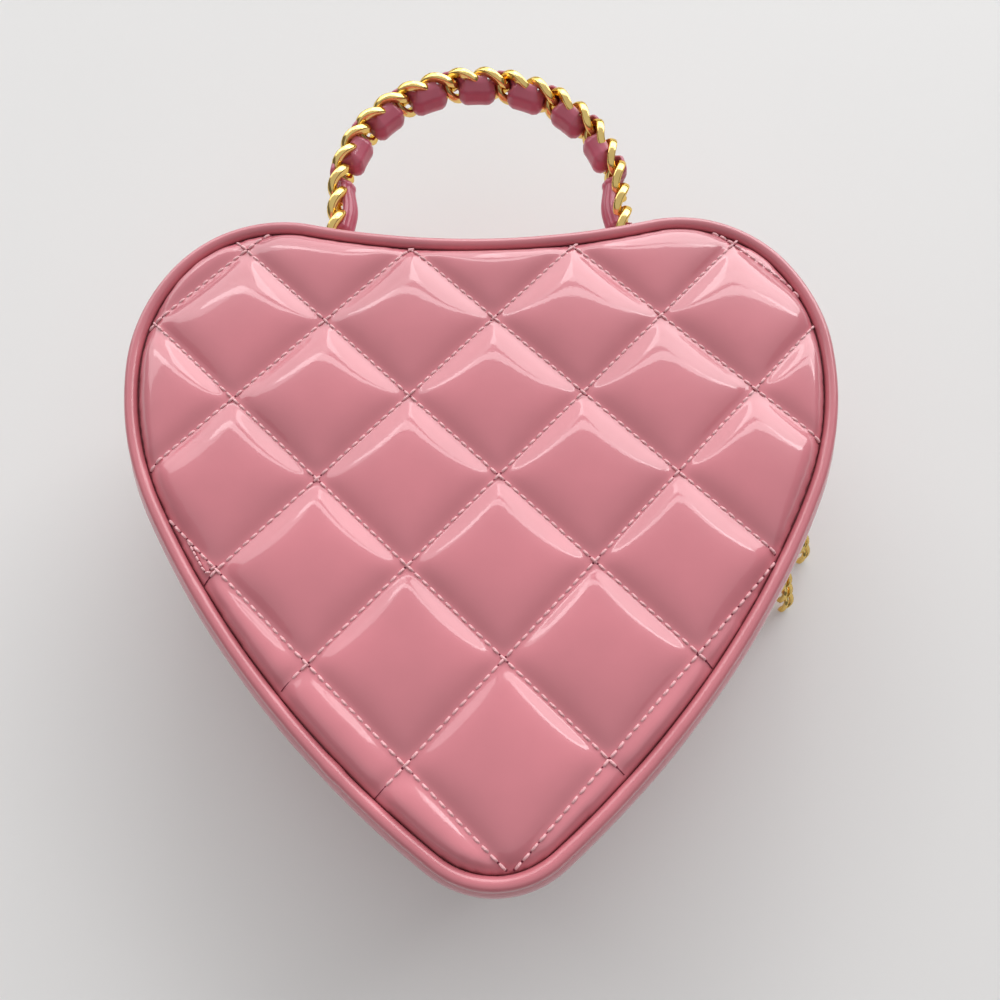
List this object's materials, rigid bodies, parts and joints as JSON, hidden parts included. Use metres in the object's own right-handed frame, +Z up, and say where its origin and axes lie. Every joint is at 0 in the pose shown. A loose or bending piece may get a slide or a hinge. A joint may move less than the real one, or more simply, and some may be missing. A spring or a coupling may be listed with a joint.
{
  "type": "heart shaped purse",
  "caption": "Small hard-sided quilted purse in a heart outline, with a zip round its side wall, a hinged back half and a chain handle woven with leather.",
  "frame": {"origin": "middle of a quilted pad of the front panel, on the heart's axis, in the plane the purse lies on", "axes": "+X to the right, +Y from the heart's tip to its lobes and handle, +Z up through the purse's depth"},
  "size_m": [0.2383, 0.2958, 0.082],
  "materials": {
    "patent_leather": "glossy patent, rose pink",
    "piping_leather": "glossy patent, rose pink",
    "strap_leather": "glossy patent, deeper pink",
    "gold_metal": "polished gilt",
    "zip_tape": "woven tape",
    "lining_cloth": "plain woven lining",
    "foam": "felted wadding",
    "panel_board": "plain pressed board",
    "piping_cord": "twisted cotton cord"
  },
  "bodies": {
    "front_shell": {"front_panel": "patent_leather", "front_padding": "foam", "front_board": "panel_board", "front_piping": "piping_leather", "front_piping_cord": "piping_cord", "front_gusset": "patent_leather", "front_wall_board": "panel_board", "front_lining": "lining_cloth", "front_zip_tape": "zip_tape", "front_zip_teeth": "gold_metal", "front_zip_stops": "gold_metal", "hinge_patch": "patent_leather"},
    "back_shell": {"back_panel": "patent_leather", "back_padding": "foam", "back_board": "panel_board", "back_piping": "piping_leather", "back_piping_cord": "piping_cord", "back_gusset": "patent_leather", "back_wall_board": "panel_board", "back_lining": "lining_cloth", "back_zip_tape": "zip_tape", "back_zip_teeth": "gold_metal", "back_zip_stops": "gold_metal", "inner_pocket": "lining_cloth", "left_handle_tab": "patent_leather", "right_handle_tab": "patent_leather"},
    "carry_handle": {"left_handle_ring": "gold_metal", "right_handle_ring": "gold_metal", "handle_chain": "gold_metal", "handle_strap": "strap_leather"},
    "upper_zip_slider": {"upper_slider": "gold_metal"},
    "lower_zip_slider": {"lower_slider": "gold_metal"},
    "upper_slider_ring": {"upper_pull_ring": "gold_metal"},
    "lower_slider_ring": {"lower_pull_ring": "gold_metal"},
    "upper_pull": {"upper_pull_chain": "gold_metal"},
    "lower_pull": {"lower_pull_chain": "gold_metal"}
  },
  "joints": [
    {"name": "lid_hinge", "type": "hinge", "parent": "front_shell", "child": "back_shell", "pos_m": [0, -0.1118, 0.041], "axis": [1, 0, 0], "range_deg": [0, 75], "deforming": ["hinge_patch"]},
    {"name": "handle_hinge", "type": "hinge", "parent": "back_shell", "child": "carry_handle", "pos_m": [0, 0.0959, 0.052], "axis": [1, 0, 0], "range_deg": [-32, 60]},
    {"name": "upper_slider_run", "type": "hinge", "parent": "front_shell", "child": "upper_zip_slider", "pos_m": [0.00716, 0.04096, 0.041], "axis": [0, 0, 1], "range_deg": [0, 19]},
    {"name": "lower_slider_run", "type": "hinge", "parent": "front_shell", "child": "lower_zip_slider", "pos_m": [-0.16315, 0.12962, 0.041], "axis": [0, 0, -1], "range_deg": [0, 18]},
    {"name": "upper_ring_swing", "type": "hinge", "parent": "upper_zip_slider", "child": "upper_slider_ring", "pos_m": [0.10807, -0.00167, 0.041], "axis": [-0.3891, -0.9212, 0], "range_deg": [0, 110]},
    {"name": "lower_ring_swing", "type": "hinge", "parent": "lower_zip_slider", "child": "lower_slider_ring", "pos_m": [0.09931, -0.01887, 0.041], "axis": [-0.4924, -0.8704, 0], "range_deg": [0, 110]},
    {"name": "upper_pull_swing", "type": "hinge", "parent": "upper_slider_ring", "child": "upper_pull", "pos_m": [0.10963, -0.00232, 0.03721], "axis": [0.8415, -0.3555, 0.4067], "range_deg": [-5, 30]},
    {"name": "lower_pull_swing", "type": "hinge", "parent": "lower_slider_ring", "child": "lower_pull", "pos_m": [0.10078, -0.0197, 0.03721], "axis": [-0.7951, 0.4499, -0.4067], "range_deg": [-5, 30]}
  ]
}
